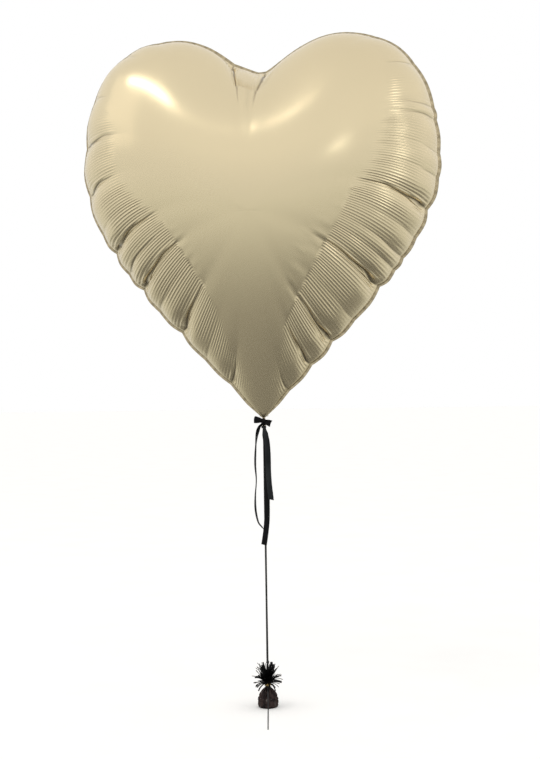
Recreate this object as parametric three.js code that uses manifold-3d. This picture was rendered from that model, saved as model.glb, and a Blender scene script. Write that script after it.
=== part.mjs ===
// Heart-shaped foil balloon on a ribbon tether with a foil-wrapped weight.
// Millimetres, +Z up, front towards -Y. The origin is the centre of the weight's base.
import * as THREE from 'three';
import Module from 'manifold-3d';
import { ParametricGeometry } from 'three/addons/geometries/ParametricGeometry.js';
import { mergeGeometries, mergeVertices } from 'three/addons/utils/BufferGeometryUtils.js';

const wasm = await Module();
wasm.setup();

// Heart outline, measured from its tip
const heartHalfWidth = 385;
const heartWidestHeight = 545;
const lobeTopHeight = 821;
const lobeTopOffset = 184;
const notchHeight = 745;

// Inflated film
const domeScale = 205;             // grows the half thickness away from the tip
const tipOpening = 0.5;            // half thickness gained per mm above the tip
const filmThickness = 0.02;
const seamWidth = 6;
const seamThickness = 0.32;        // the sealed border is stiffer than the film
const seamGap = 0.15;              // from the middle plane to each sealed film
const panelSlices = 64;
const panelStacks = 9;
const rimReach = 0.965;            // the last ring before the seam, where the film is already thin

// Heights of the things along the tether
const tipZ = 622;
const pivotGap = 2.2;              // from the neck's pivot up to the heart's tip
const neckRadius = 3.5;
const bindingWidth = 7.4;
const bindingThickness = 1.8;
const hitchWidth = 6;
const hitchThickness = 1.5;
const wrapClearance = 0.4;         // between a wrapped ribbon and the neck inside it
const endGap = 0.4;                // between pieces that meet end to end

// Filling tail, folded up behind the tip
const fillTailWidth = 25;
const fillTailLength = 44;
const fillTailThickness = 0.9;
const fillTailWall = 0.15;
const fillTailStandOff = 3.2;
const valveMargin = 3;

// Ribbons
const satinWidth = 12;
const satinThickness = 0.5;
const tetherWidth = 4.6;
const tetherThickness = 0.6;
const loopBandWidth = 9;

// Foil-wrapped weight
const wrapRadius = 22.4;
const wrapHeight = 44;
const wrapFoil = 0.4;
const pleatCount = 14;
const pleatDepth = 0.035;          // share of the radius
const coreRadius = 18.8;
const coreHeight = 30.5;
const coreShoulder = 11.5;
const coreClearance = 0.6;
const wrapNeckRadius = 5.2;
const wrapNeckLength = 15.5;
const tieWidth = 4.8;
const tieThickness = 1.3;
const fringeStripWidth = 3.2;
const fringeFoil = 0.5;
const fringeHubWidth = 3.4;
const fringeHubStep = 2.2;
const tuftHeight = 42;             // from the wrap's shoulder up to the tether's knot
const knotRadius = 2.3;
const knotCord = 0.8;
const tetherTailWidth = 2.4;
const tetherTailTurn = 8;          // degrees from straight forward, towards +X

const finishes = {
  film: { color: 0xd9c49a, roughness: 0.32, metalness: 0.85 },
  clearFilm: { color: 0xe8e4da, roughness: 0.25, metalness: 0 },
  satin: { color: 0x0b0c0d, roughness: 0.45, metalness: 0 },
  curling: { color: 0x101113, roughness: 0.35, metalness: 0 },
  blackFoil: { color: 0x1a1413, roughness: 0.3, metalness: 0.6 },
  gold: { color: 0xc79a3c, roughness: 0.25, metalness: 1 },
  iron: { color: 0x4a4744, roughness: 0.7, metalness: 0.4 },
};

const part = new THREE.Group();

function addPiece(name, geometry, finish) {
  const material = new THREE.MeshStandardMaterial(finishes[finish]);
  const mesh = new THREE.Mesh(geometry, material);
  mesh.name = name;
  part.add(mesh);
  return mesh;
}

// One closed body: only positions, with shared vertices merged
function welded(geometry) {
  geometry.deleteAttribute('normal');
  geometry.deleteAttribute('uv');
  const body = mergeVertices(geometry, 1e-4);
  body.computeVertexNormals();
  return body;
}

// ---- shared shapes ----

// Solid of revolution about Z from [radius, height] pairs
function turned(profile, segments) {
  const points = profile.map(([radius, height]) => new THREE.Vector2(radius, height));
  return welded(new THREE.LatheGeometry(points, segments).rotateX(Math.PI / 2));
}

function ring(innerRadius, thickness, low, high, segments) {
  const outer = innerRadius + thickness;
  const round = Math.min(thickness, high - low) * 0.3;
  return turned([
    [innerRadius, low + round], [innerRadius + round, low], [outer - round, low], [outer, low + round],
    [outer, high - round], [outer - round, high], [innerRadius + round, high],
    [innerRadius, high - round], [innerRadius, low + round],
  ], segments);
}

// A flat strip that follows a curve. The curve stays in the middle of the strip; across(t) is
// the direction of its width and width(t) its width.
function strip(curve, width, thickness, across, steps) {
  const corners = [[-0.5, -0.5], [0.5, -0.5], [0.5, 0.5], [-0.5, 0.5]];
  const centre = new THREE.Vector3();
  const side = new THREE.Vector3();
  const depth = new THREE.Vector3();
  const place = (u, v, target) => {
    const stack = Math.round(v * (steps + 2));
    const t = Math.min(Math.max((stack - 1) / steps, 0), 1);
    curve.getPointAt(t, centre);
    const tangent = curve.getTangentAt(t);
    side.copy(across(t)).addScaledVector(tangent, -across(t).dot(tangent)).normalize();
    depth.crossVectors(tangent, side);
    const capped = stack === 0 || stack === steps + 2 ? 0 : 1;
    const [x, y] = corners[Math.round(u * 4) % 4];
    target.copy(centre).addScaledVector(side, x * width(t) * capped);
    target.addScaledVector(depth, y * thickness * capped);
  };
  return welded(new ParametricGeometry(place, 4, steps + 2));
}

function curveThrough(points) {
  return new THREE.CatmullRomCurve3(points.map((point) => new THREE.Vector3(...point)), false, 'centripetal');
}

// ---- heart outline and dome ----

function quarter(from, fromPull, toPull, to) {
  return new THREE.CubicBezierCurve(from, fromPull, toPull, to);
}

function heartOutline() {
  const tip = new THREE.Vector2(0, 0);
  const widest = new THREE.Vector2(heartHalfWidth, heartWidestHeight);
  const top = new THREE.Vector2(lobeTopOffset, lobeTopHeight);
  const notch = new THREE.Vector2(0, notchHeight);
  const lobeRise = lobeTopHeight - heartWidestHeight;
  const flank = quarter(tip, new THREE.Vector2(0.39 * heartHalfWidth, 0.312 * heartWidestHeight),
    new THREE.Vector2(heartHalfWidth, 0.66 * heartWidestHeight), widest);
  const shoulder = quarter(widest, new THREE.Vector2(heartHalfWidth, heartWidestHeight + 0.67 * lobeRise),
    new THREE.Vector2(lobeTopOffset + 0.637 * (heartHalfWidth - lobeTopOffset), lobeTopHeight), top);
  const crown = quarter(top, new THREE.Vector2(0.543 * lobeTopOffset, lobeTopHeight),
    new THREE.Vector2(0.245 * lobeTopOffset, notchHeight + 5), notch);
  const half = new THREE.CurvePath();
  half.add(flank);
  half.add(shoulder);
  half.add(crown);
  const right = half.getSpacedPoints(96);
  const left = right.slice(1, -1).reverse().map((point) => new THREE.Vector2(-point.x, point.y));
  return right.concat(left);
}

const outline = heartOutline();

function outlinePoint(share) {
  const at = (share % 1) * outline.length;
  const index = Math.floor(at) % outline.length;
  const next = outline[(index + 1) % outline.length];
  return outline[index].clone().lerp(next, at - Math.floor(at));
}

// A smooth distance to the outline: it equals the real distance close to an edge
// and rounds off over the middle of the heart
function softDistance(x, z) {
  let sum = 0;
  outline.forEach((start, index) => {
    const end = outline[(index + 1) % outline.length];
    const length = start.distanceTo(end);
    const alongX = (end.x - start.x) / length;
    const alongZ = (end.y - start.y) / length;
    const along = (x - start.x) * alongX + (z - start.y) * alongZ;
    const off = (x - start.x) * alongZ - (z - start.y) * alongX;
    const square = Math.max(off * off, 1e-6);
    sum += ((length - along) / Math.hypot(off, length - along) + along / Math.hypot(off, along)) / square;
  });
  return Math.sqrt(2 / sum);
}

function domeHeight(x, z) {
  const local = domeScale * Math.tanh(tipOpening * Math.hypot(x, z) / domeScale);
  return Math.sqrt(softDistance(x, z) * local);
}

const domeCentre = new THREE.Vector2(0, 0.79 * heartWidestHeight);

// A point of the dome: share goes round the outline and reach from the centre (0) to the seam (1)
function domePoint(share, reach) {
  const rim = outlinePoint(share);
  const flat = domeCentre.clone().lerp(rim, 1 - (1 - reach) ** 2);
  const height = reach < 1 ? domeHeight(flat.x, flat.y) : 0;
  return new THREE.Vector3(flat.x, -seamGap - seamThickness - height, tipZ + flat.y);
}

// Outward direction of the dome film
function domeNormal(share, reach) {
  if (reach === 0) return new THREE.Vector3(0, -1, 0);
  const small = 1e-3;
  const inner = domePoint(share, reach - small);
  const here = domePoint(share, reach);
  const along = domePoint(share + small, reach).sub(domePoint(share + 1 - small, reach));
  return here.clone().sub(inner).cross(along).normalize();
}

// Sealed border outside the dome; it narrows to nothing at the gathered tip
function seamEdge(share) {
  const rim = outlinePoint(share);
  const around = outlinePoint(share + 0.002).sub(outlinePoint(share + 0.998));
  const outward = new THREE.Vector2(around.y, -around.x).normalize();
  const width = seamWidth * Math.min(1, rim.length() / (8 * seamWidth));
  return rim.addScaledVector(outward, width);
}

// The film's inner corner where the dome meets the sealed border
function innerRim(share) {
  const rim = outlinePoint(share);
  const inward = rim.clone().sub(seamEdge(share));
  if (inward.length() === 0) inward.set(0, 1);
  inward.setLength(seamThickness);
  return new THREE.Vector3(rim.x + inward.x, -seamGap, tipZ + rim.y + inward.y);
}

// The same triangles facing the other way
function facingBack(geometry) {
  const index = geometry.getIndex();
  for (let first = 0; first < index.count; first += 3) {
    const second = index.getX(first + 1);
    index.setX(first + 1, index.getX(first + 2));
    index.setX(first + 2, second);
  }
  return geometry;
}

function stackReach(stack) {
  if (stack === panelStacks) return 1;
  return stack === panelStacks - 1 ? rimReach : stack / (panelStacks - 1);
}

// Thin film: an outer face from the middle of the dome round the seam's edge, and an inner face
// whose triangles lie under the outer ones, so the two never cross
function heartPanel() {
  const edgeStacks = panelStacks + 3;
  const cutAt = (share) => (panelSlices - Math.round(share * panelSlices)) % panelSlices / panelSlices;
  const outerPlace = (share, v, target) => {
    const stack = Math.round(v * edgeStacks);
    const cut = cutAt(share);
    if (stack <= panelStacks) {
      target.copy(domePoint(cut, stackReach(stack)));
    } else if (stack === edgeStacks) {
      target.copy(innerRim(cut));
    } else {
      const edge = seamEdge(cut);
      const depth = stack === panelStacks + 1 ? seamThickness : 0;
      target.set(edge.x, -seamGap - depth, tipZ + edge.y);
    }
  };
  const innerPlace = (share, v, target) => {
    const cut = cutAt(share);
    const reach = stackReach(Math.round(v * panelStacks));
    if (reach === 1) {
      target.copy(innerRim(cut));
    } else {
      target.copy(domePoint(cut, reach)).addScaledVector(domeNormal(cut, reach), -filmThickness);
    }
  };
  return mergeGeometries([
    new ParametricGeometry(outerPlace, panelSlices, edgeStacks),
    facingBack(new ParametricGeometry(innerPlace, panelSlices, panelStacks)),
  ]);
}

const rearPanelShape = heartPanel().rotateZ(Math.PI);
addPiece('front_panel', welded(heartPanel()), 'film');
addPiece('rear_panel', welded(rearPanelShape), 'film');

// ---- gathered neck ----

const pivotZ = tipZ - pivotGap;
const neckBallRadius = neckRadius + 0.1;

function neckGather() {
  const top = pivotZ + 0.75 * pivotGap;
  const profile = [[0, pivotZ - neckBallRadius]];
  const steps = 6;
  const topAngle = Math.asin(0.75 * pivotGap / neckBallRadius);
  for (let step = 1; step <= steps; step += 1) {
    const angle = -Math.PI / 2 + (Math.PI / 2 + topAngle) * step / steps;
    profile.push([neckBallRadius * Math.cos(angle), pivotZ + neckBallRadius * Math.sin(angle)]);
  }
  profile.push([0, top]);
  return turned(profile, 20);
}

const ropeTop = pivotZ - neckBallRadius - endGap;
const bindingTop = ropeTop - 0.2;
const bindingLow = bindingTop - bindingWidth;
const hitchTop = bindingLow - endGap;
const hitchLow = hitchTop - hitchWidth;

addPiece('neck_gather', neckGather(), 'film');
addPiece('neck_rope', turned([
  [0, hitchLow + 0.6], [neckRadius * 0.8, hitchLow + 0.6], [neckRadius, hitchLow + 1.4],
  [neckRadius, ropeTop - 0.6], [neckRadius * 0.8, ropeTop], [0, ropeTop],
], 20), 'film');
addPiece('ribbon_binding',
  ring(neckRadius + wrapClearance, bindingThickness, bindingLow, bindingTop, 28), 'satin');
addPiece('tether_hitch',
  ring(neckRadius + wrapClearance, hitchThickness, hitchLow, hitchTop, 24), 'curling');

// ---- filling tail with the valve film inside ----

const tailTilt = Math.atan(1 / (tipOpening * 1.04)) - Math.PI / 2;

function tiltedBehindTip(geometry) {
  geometry.rotateX(tailTilt);
  geometry.translate(0, fillTailStandOff + fillTailThickness, tipZ + 2.5);
  return welded(geometry);
}

function sleeve() {
  const shape = new THREE.Shape();
  const halfWidth = fillTailWidth / 2;
  const halfDepth = fillTailThickness / 2;
  shape.moveTo(-halfWidth, -halfDepth);
  shape.lineTo(halfWidth, -halfDepth);
  shape.lineTo(halfWidth, halfDepth);
  shape.lineTo(-halfWidth, halfDepth);
  const hollow = new THREE.Path();
  const innerWidth = halfWidth - valveMargin / 2;
  const innerDepth = halfDepth - fillTailWall;
  hollow.moveTo(-innerWidth, -innerDepth);
  hollow.lineTo(-innerWidth, innerDepth);
  hollow.lineTo(innerWidth, innerDepth);
  hollow.lineTo(innerWidth, -innerDepth);
  shape.holes.push(hollow);
  return new THREE.ExtrudeGeometry(shape, { depth: fillTailLength, steps: 1, bevelEnabled: false });
}

function valveFilm() {
  const depth = (fillTailThickness - 2 * fillTailWall) / 3;
  const length = fillTailLength - 2 * valveMargin;
  const film = new THREE.BoxGeometry(fillTailWidth - 2 * valveMargin, depth, length);
  return film.translate(0, 0, fillTailLength / 2);
}

addPiece('filling_tail', tiltedBehindTip(sleeve()), 'film');
addPiece('valve_film', tiltedBehindTip(valveFilm()), 'clearFilm');

// ---- bow ----

const bowZ = (bindingLow + bindingTop) / 2 + 1;
const bowFront = neckRadius + wrapClearance + bindingThickness;
const knotHalf = [4.6, 3.6, 6];
const knotCentre = new THREE.Vector3(1, -bowFront - 0.4 - knotHalf[1], bowZ);

const bowKnot = new THREE.SphereGeometry(1, 16, 12);
bowKnot.scale(...knotHalf).translate(knotCentre.x, knotCentre.y, knotCentre.z);
addPiece('bow_knot', welded(bowKnot), 'satin');

// A closed loop of band, pinched at the knot
function bowLoop(points, lean) {
  const path = new THREE.CatmullRomCurve3(points.map(([x, z]) => new THREE.Vector3(x, 0, z)), true);
  const steps = 20;
  const corners = [[-0.5, -0.5], [0.5, -0.5], [0.5, 0.5], [-0.5, 0.5]];
  const across = new THREE.Vector3(0, 1, 0);
  const place = (u, v, target) => {
    const t = Math.round(v * steps) % steps / steps;
    const centre = path.getPointAt(t);
    const depth = path.getTangentAt(t).cross(across);
    const [x, y] = corners[Math.round(u * 4) % 4];
    const nearKnot = Math.min(1, 0.45 + Math.abs(centre.x) / 14);
    target.copy(centre).addScaledVector(across, x * loopBandWidth * nearKnot + lean * centre.x);
    target.addScaledVector(depth, y * satinThickness);
    target.add(knotCentre);
  };
  return welded(new ParametricGeometry(place, 4, steps));
}

addPiece('bow_loop_left', bowLoop([
  [-5.2, 0.9], [-9, 4], [-15, 6.8], [-21, 5.6], [-22.5, 1.6], [-19, -4.4], [-14, -6.4], [-9, -4.4], [-5.4, -0.6],
], 0.12), 'satin');
addPiece('bow_loop_right', bowLoop([
  [5.4, -1.2], [9, -3.4], [14.5, -5.4], [13.5, -1], [9, 4.6], [6.6, 7.6], [4.2, 8.2], [4.6, 5.6], [5.2, 0.8],
].reverse(), -0.12), 'satin');

// ---- satin tails ----

const facing = (degrees) => {
  const angle = THREE.MathUtils.degToRad(degrees);
  return new THREE.Vector3(Math.cos(angle), Math.sin(angle), 0);
};
const tailTop = bowZ - knotHalf[2] - 1;
const wide = (t) => satinWidth * Math.min(1, 0.25 + 9 * t);

addPiece('short_tail', strip(curveThrough([
  [2.5, -12.4, tailTop], [5, -13.4, 590], [8.5, -14, 572], [10, -13.6, 545], [10.4, -13.2, 510],
  [12, -13.6, 480], [15.5, -15, 449],
]), wide, satinThickness, (t) => facing(4 - 10 * t), 14), 'satin');

addPiece('long_tail', strip(curveThrough([
  [0.5, -7.6, tailTop - 0.6], [3, -6.8, 590], [5.5, -6.4, 565], [6, -6.2, 530], [6, -6.4, 490],
  [5.4, -6.6, 440], [4.6, -6.4, 405], [1.5, -6.6, 376], [-2.5, -7, 351],
]), wide, satinThickness, (t) => facing(-6 + 8 * t), 18), 'satin');

const strandTurn = (t) => facing(52 + 26 * Math.sin(Math.PI * t));
const strandWidth = (t) => satinWidth * Math.min(1, 0.35 + 6 * t) * 0.9;
addPiece('side_strand', strip(curveThrough([
  [-10.5, -6, tailTop - 4.4], [-15, -3, 583], [-18, 1, 560], [-20, 4, 525], [-18.5, 6, 490],
  [-21.5, 8, 455], [-21.5, 9.5, 425], [-16.5, 11, 399], [-9, 12, 388], [-3, 12.5, 380],
]), strandWidth, satinThickness, strandTurn, 20), 'satin');

// ---- foil-wrapped weight ----

const wrapProfile = [
  [0, 0], [0.9 * wrapRadius, 0], [0.985 * wrapRadius, 2.4], [wrapRadius, 8], [0.97 * wrapRadius, 16],
  [0.88 * wrapRadius, 25], [0.7 * wrapRadius, 33.5], [0.42 * wrapRadius, 40],
];

function pleated(geometry) {
  const position = geometry.getAttribute('position');
  for (let index = 0; index < position.count; index += 1) {
    const x = position.getX(index);
    const y = position.getY(index);
    const z = position.getZ(index);
    const gather = Math.min(1, Math.max(0, (z - 1) / 12));
    const grow = 1 + pleatDepth * gather * Math.cos(pleatCount * Math.atan2(y, x));
    position.setXYZ(index, x * grow, y * grow, z);
  }
  return welded(geometry);
}

function wrapShell() {
  const neckTop = wrapHeight + wrapNeckLength;
  const outer = wrapProfile.concat([[wrapNeckRadius, wrapHeight], [wrapNeckRadius, neckTop]]);
  const inner = outer.map(([radius, height], index) => [
    Math.max(radius - (index === 0 ? 0 : 2 * wrapFoil), 0),
    index === outer.length - 1 ? height : height + wrapFoil,
  ]);
  const points = outer.concat(inner.reverse()).map(([radius, height]) => new THREE.Vector2(radius, height));
  return pleated(new THREE.LatheGeometry(points, pleatCount * 4).rotateX(Math.PI / 2));
}

addPiece('weight_wrap', wrapShell(), 'blackFoil');

const coreLow = wrapFoil + coreClearance;
addPiece('weight_core', turned([
  [0, coreLow], [coreRadius - 1.5, coreLow], [coreRadius, coreLow + 1.5],
  [coreRadius, coreLow + coreHeight - coreShoulder], [coreRadius - coreShoulder / 2, coreLow + coreHeight],
  [0, coreLow + coreHeight],
], 40), 'iron');

const tieLow = wrapHeight + 2.5;
const tieInner = wrapNeckRadius * (1 + pleatDepth) + wrapClearance;
addPiece('gold_tie', ring(tieInner, tieThickness, tieLow, tieLow + tieWidth, 28), 'gold');

// ---- fringe: three layers of cut foil round the neck ----

function toManifold(geometry) {
  const index = geometry.getIndex();
  return new wasm.Manifold(new wasm.Mesh({
    numProp: 3,
    vertProperties: new Float32Array(geometry.getAttribute('position').array),
    triVerts: new Uint32Array(index.array),
  }));
}

function fromManifold(solid) {
  const mesh = solid.getMesh();
  const geometry = new THREE.BufferGeometry();
  geometry.setAttribute('position', new THREE.BufferAttribute(new Float32Array(mesh.vertProperties), 3));
  geometry.setIndex(new THREE.BufferAttribute(new Uint32Array(mesh.triVerts), 1));
  return welded(geometry);
}

// Each blade leaves the hub, rises at its own slope and droops at its end
function fringeLayer({ level, blades, turn, rise, droop, length, uneven }) {
  const low = tieLow + tieWidth + 0.8 + level * fringeHubStep;
  const hubInner = tieInner;
  const hubOuter = hubInner + fringeHubWidth;
  let solid = toManifold(ring(hubInner, fringeHubWidth, low, low + 2 * fringeFoil, 24));
  for (let blade = 0; blade < blades; blade += 1) {
    const angle = turn + 2 * Math.PI * blade / blades;
    const out = new THREE.Vector3(Math.cos(angle), Math.sin(angle), 0);
    const across = new THREE.Vector3(-Math.sin(angle), Math.cos(angle), 0);
    const reach = length * (1 + uneven * Math.sin(2.4 * blade + level));
    const slope = rise + 0.07 * Math.sin(1.7 * blade + 2 * level);
    const stations = [0, 0.2, 0.45, 0.75, 1].map((t) => {
      const run = reach * t;
      const climb = run * Math.sin(slope) - droop * reach * t * t;
      return out.clone().multiplyScalar(hubOuter - 1.1 + run * Math.cos(slope)).setZ(low + fringeFoil + climb);
    });
    const curve = new THREE.CatmullRomCurve3(stations, false, 'centripetal');
    const lean = 0.5 * Math.sin(3.1 * blade + level);
    const twisted = (t) => across.clone().multiplyScalar(Math.cos(lean * t)).setZ(Math.sin(lean * t));
    solid = solid.add(toManifold(strip(curve, () => fringeStripWidth, fringeFoil, twisted, 5)));
  }
  return fromManifold(solid);
}

addPiece('fringe_lower', fringeLayer({
  level: 0, blades: 10, turn: 0.2, rise: 0.16, droop: 0.42, length: 23, uneven: 0.14,
}), 'blackFoil');
addPiece('fringe_middle', fringeLayer({
  level: 1, blades: 9, turn: 0.5, rise: 0.72, droop: 0.3, length: 29, uneven: 0.12,
}), 'blackFoil');
addPiece('fringe_upper', fringeLayer({
  level: 2, blades: 8, turn: 0.1, rise: 1.3, droop: 0.06, length: 34, uneven: 0.1,
}), 'blackFoil');

// ---- tether ----

const shoulderZ = wrapHeight + wrapNeckLength;
const anchorZ = wrapHeight + tuftHeight + wrapNeckLength - 5;

// A plain flat cord of eight sides
function flatSection(across, thick) {
  const shape = new THREE.Shape();
  const corner = thick * 0.3;
  const x = across / 2;
  const y = thick / 2;
  shape.moveTo(-x, -y + corner);
  shape.lineTo(-x + corner, -y);
  shape.lineTo(x - corner, -y);
  shape.lineTo(x, -y + corner);
  shape.lineTo(x, y - corner);
  shape.lineTo(x - corner, y);
  shape.lineTo(-x + corner, y);
  shape.lineTo(-x, y - corner);
  return shape;
}

function straightCord(low, high, steps) {
  const depth = high - low;
  const cord = new THREE.ExtrudeGeometry(flatSection(tetherWidth, tetherThickness), { depth, steps, bevelEnabled: false });
  return welded(cord.translate(0, 0, low));
}

const anchorHalf = knotRadius + knotCord + 0.6;
addPiece('tether_root', straightCord(shoulderZ - 4, anchorZ - anchorHalf, 3), 'curling');

const anchorKnot = new THREE.TorusKnotGeometry(knotRadius, knotCord, 40, 8, 2, 3);
anchorKnot.translate(0, 0, anchorZ);
addPiece('anchor_knot', welded(anchorKnot), 'curling');

addPiece('tether', straightCord(anchorZ + anchorHalf, hitchLow - endGap, 40), 'curling');

// The ribbon's spare end: down the front of the weight and forward over the floor
const floorZ = tetherThickness / 2 + 0.05;
const tetherTailRoute = [
  [0, -8.8, 47], [0, -10.6, 43.6], [0, -14.4, 39.4], [0, -19.6, 32.6], [0, -22.6, 24], [0, -24.3, 14],
  [0, -25, 6], [0, -26.6, 1.6], [0, -30, floorZ], [0, -50, floorZ], [0, -80, floorZ], [0, -110, floorZ],
  [0, -140, floorZ], [0, -170, floorZ], [0, -196, floorZ],
];
const tetherTail = new THREE.ExtrudeGeometry(flatSection(tetherTailWidth, tetherThickness), {
  steps: 40, bevelEnabled: false, extrudePath: curveThrough(tetherTailRoute),
});
tetherTail.rotateZ(THREE.MathUtils.degToRad(tetherTailTurn));
addPiece('tether_tail', welded(tetherTail), 'curling');

export default part;
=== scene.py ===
import math
import random
import bpy
import bmesh
import numpy as np
from mathutils import Matrix, Vector, noise


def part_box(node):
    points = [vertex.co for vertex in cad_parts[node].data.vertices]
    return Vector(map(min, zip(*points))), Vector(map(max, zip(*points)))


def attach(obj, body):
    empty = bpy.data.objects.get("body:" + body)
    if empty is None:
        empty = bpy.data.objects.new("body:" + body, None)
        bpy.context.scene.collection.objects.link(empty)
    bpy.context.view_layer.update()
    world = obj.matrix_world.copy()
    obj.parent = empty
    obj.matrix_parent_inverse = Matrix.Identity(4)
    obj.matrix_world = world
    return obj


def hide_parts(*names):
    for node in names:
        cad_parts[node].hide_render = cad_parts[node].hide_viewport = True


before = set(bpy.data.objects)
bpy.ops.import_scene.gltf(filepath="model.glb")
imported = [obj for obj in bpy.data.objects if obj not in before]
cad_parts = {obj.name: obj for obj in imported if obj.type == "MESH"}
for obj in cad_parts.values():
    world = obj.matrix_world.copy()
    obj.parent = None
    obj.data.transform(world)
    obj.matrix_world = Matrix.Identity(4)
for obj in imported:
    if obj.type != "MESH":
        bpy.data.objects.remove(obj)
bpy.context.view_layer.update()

print("frame loaded:", len(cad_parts), "nodes")


camera = {
    "azimuth": 8.0,         # degrees, towards the heart's right lobe
    "distance": 3.0,
    "height": 0.707,
    "sideShift": 0.015,     # aims a little right of the tether
    "roll": -0.9,           # degrees
    "viewHeight": 1.640,    # what the frame takes in at the tether
}


def placeCamera():
    turn = math.radians(camera["azimuth"])
    right = Vector((math.cos(turn), math.sin(turn), 0))
    back = Vector((math.sin(turn), -math.cos(turn), 0))
    data = bpy.data.cameras.new("camera")
    data.sensor_fit = "VERTICAL"
    data.angle = 2 * math.atan(camera["viewHeight"] / 2 / camera["distance"])
    eye = bpy.data.objects.new("camera", data)
    aim = Matrix.Rotation(turn, 4, "Z") @ Matrix.Rotation(math.pi / 2, 4, "X")
    aim = aim @ Matrix.Rotation(math.radians(camera["roll"]), 4, "Z")
    place = back * camera["distance"] + right * camera["sideShift"] + Vector((0, 0, camera["height"]))
    eye.matrix_world = Matrix.Translation(place) @ aim
    bpy.context.scene.collection.objects.link(eye)
    bpy.context.scene.camera = eye


placeCamera()
print("camera placed")


def newPiece(name, bm, material):
    mesh = bpy.data.meshes.new(name)
    bm.to_mesh(mesh)
    bm.free()
    mesh.polygons.foreach_set("use_smooth", [True] * len(mesh.polygons))
    mesh.materials.append(material)
    piece = bpy.data.objects.new(name, mesh)
    bpy.context.scene.collection.objects.link(piece)
    return piece


def moveVerts(bm, coords):
    for vert, co in zip(bm.verts, coords):
        vert.co = co


def readVerts(bm):
    return np.array([v.co for v in bm.verts], float)


def curveAt(points, shares):
    # smooth curve through the points, read at shares of its length
    pts = np.array(points, float)
    pads = np.vstack([2 * pts[0] - pts[1], pts, 2 * pts[-1] - pts[-2]])
    fine = []
    for k in range(len(pts) - 1):
        p0, p1, p2, p3 = pads[k:k + 4]
        t = np.linspace(0, 1, 24, endpoint=False)[:, None]
        fine.append(0.5 * (2 * p1 + (p2 - p0) * t + (2 * p0 - 5 * p1 + 4 * p2 - p3) * t**2
                           + (3 * p1 - p0 - 3 * p2 + p3) * t**3))
    fine = np.vstack(fine + [pts[-1:]])
    run = np.concatenate([[0], np.cumsum(np.linalg.norm(np.diff(fine, axis=0), axis=1))])
    at = np.asarray(shares) * run[-1]
    return np.stack([np.interp(at, run, fine[:, k]) for k in range(3)], 1), run[-1]


def smoothStep(low, high, value):
    t = np.clip((value - low) / (high - low), 0, 1)
    return t * t * (3 - 2 * t)


def nodesOf(name):
    material = bpy.data.materials.new(name)
    material.use_nodes = True
    tree = material.node_tree
    shader = tree.nodes["Principled BSDF"]
    return material, tree, shader


def addNode(tree, kind, settings=None, **inputs):
    node = tree.nodes.new(kind)
    for key, value in (settings or {}).items():
        setattr(node, key, value)
    for key, value in inputs.items():
        node.inputs[key.replace("_", " ")].default_value = value
    return node


def objectNoise(tree, scale, detail=3.0, stretch=(1, 1, 1)):
    where = addNode(tree, "ShaderNodeTexCoord")
    mapping = addNode(tree, "ShaderNodeMapping")
    mapping.inputs["Scale"].default_value = stretch
    cloud = addNode(tree, "ShaderNodeTexNoise", Scale=scale, Detail=detail)
    tree.links.new(where.outputs["Object"], mapping.inputs["Vector"])
    tree.links.new(mapping.outputs["Vector"], cloud.inputs["Vector"])
    return cloud


def ramp(tree, source, stops):
    node = addNode(tree, "ShaderNodeValToRGB")
    points = node.color_ramp.elements
    while len(points) < len(stops):
        points.new(0.5)
    for element, (at, colour) in zip(points, stops):
        element.position = at
        element.color = (*colour, 1)
    tree.links.new(source, node.inputs["Fac"])
    return node


def bump(tree, shader, source, strength, distance, before=None):
    node = addNode(tree, "ShaderNodeBump", Strength=strength, Distance=distance)
    tree.links.new(source, node.inputs["Height"])
    if before is not None:
        tree.links.new(before.outputs["Normal"], node.inputs["Normal"])
    tree.links.new(node.outputs["Normal"], shader.inputs["Normal"])
    return node


film = {
    "colour": (0.84, 0.72, 0.48),
    "shade": (0.82, 0.70, 0.465),
    # painted shade: the dark colour that creases, wrinkle valleys and the seam line are mixed towards
    "fold": (0.10, 0.075, 0.045),
    "roughness": 0.23,
    "metal": 0.9,
}


def balloonFilm():
    material, tree, shader = nodesOf("champagneFilm")
    shader.inputs["Metallic"].default_value = film["metal"]
    tint = objectNoise(tree, 3.0, 2.0)
    colour = ramp(tree, tint.outputs["Fac"], [(0.3, film["shade"]), (0.7, film["colour"])])
    # painted shade: the fold attribute mixes the colour towards the dark film["fold"] colour in creases,
    # wrinkle valleys and along the seam
    fold = addNode(tree, "ShaderNodeAttribute", {"attribute_name": "fold"})
    mix = addNode(tree, "ShaderNodeMix", {"data_type": "RGBA"})
    tree.links.new(fold.outputs["Fac"], mix.inputs["Factor"])
    tree.links.new(colour.outputs["Color"], mix.inputs[6])
    mix.inputs[7].default_value = (*film["fold"], 1)
    tree.links.new(mix.outputs[2], shader.inputs["Base Color"])
    wear = objectNoise(tree, 14.0, 4.0)
    rough = addNode(tree, "ShaderNodeMapRange")
    rough.inputs["To Min"].default_value = film["roughness"] - 0.03
    rough.inputs["To Max"].default_value = film["roughness"] + 0.03
    tree.links.new(wear.outputs["Fac"], rough.inputs["Value"])
    tree.links.new(rough.outputs["Result"], shader.inputs["Roughness"])
    return material


def attributeWave(tree, name, period):
    # a ridge pattern across or along a ribbon, from its own attribute in metres
    where = addNode(tree, "ShaderNodeAttribute", {"attribute_name": name})
    turns = addNode(tree, "ShaderNodeMath", {"operation": "MULTIPLY"})
    turns.inputs[1].default_value = 2 * math.pi / period
    wave = addNode(tree, "ShaderNodeMath", {"operation": "SINE"})
    tree.links.new(where.outputs["Fac"], turns.inputs[0])
    tree.links.new(turns.outputs[0], wave.inputs[0])
    return wave


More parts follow.
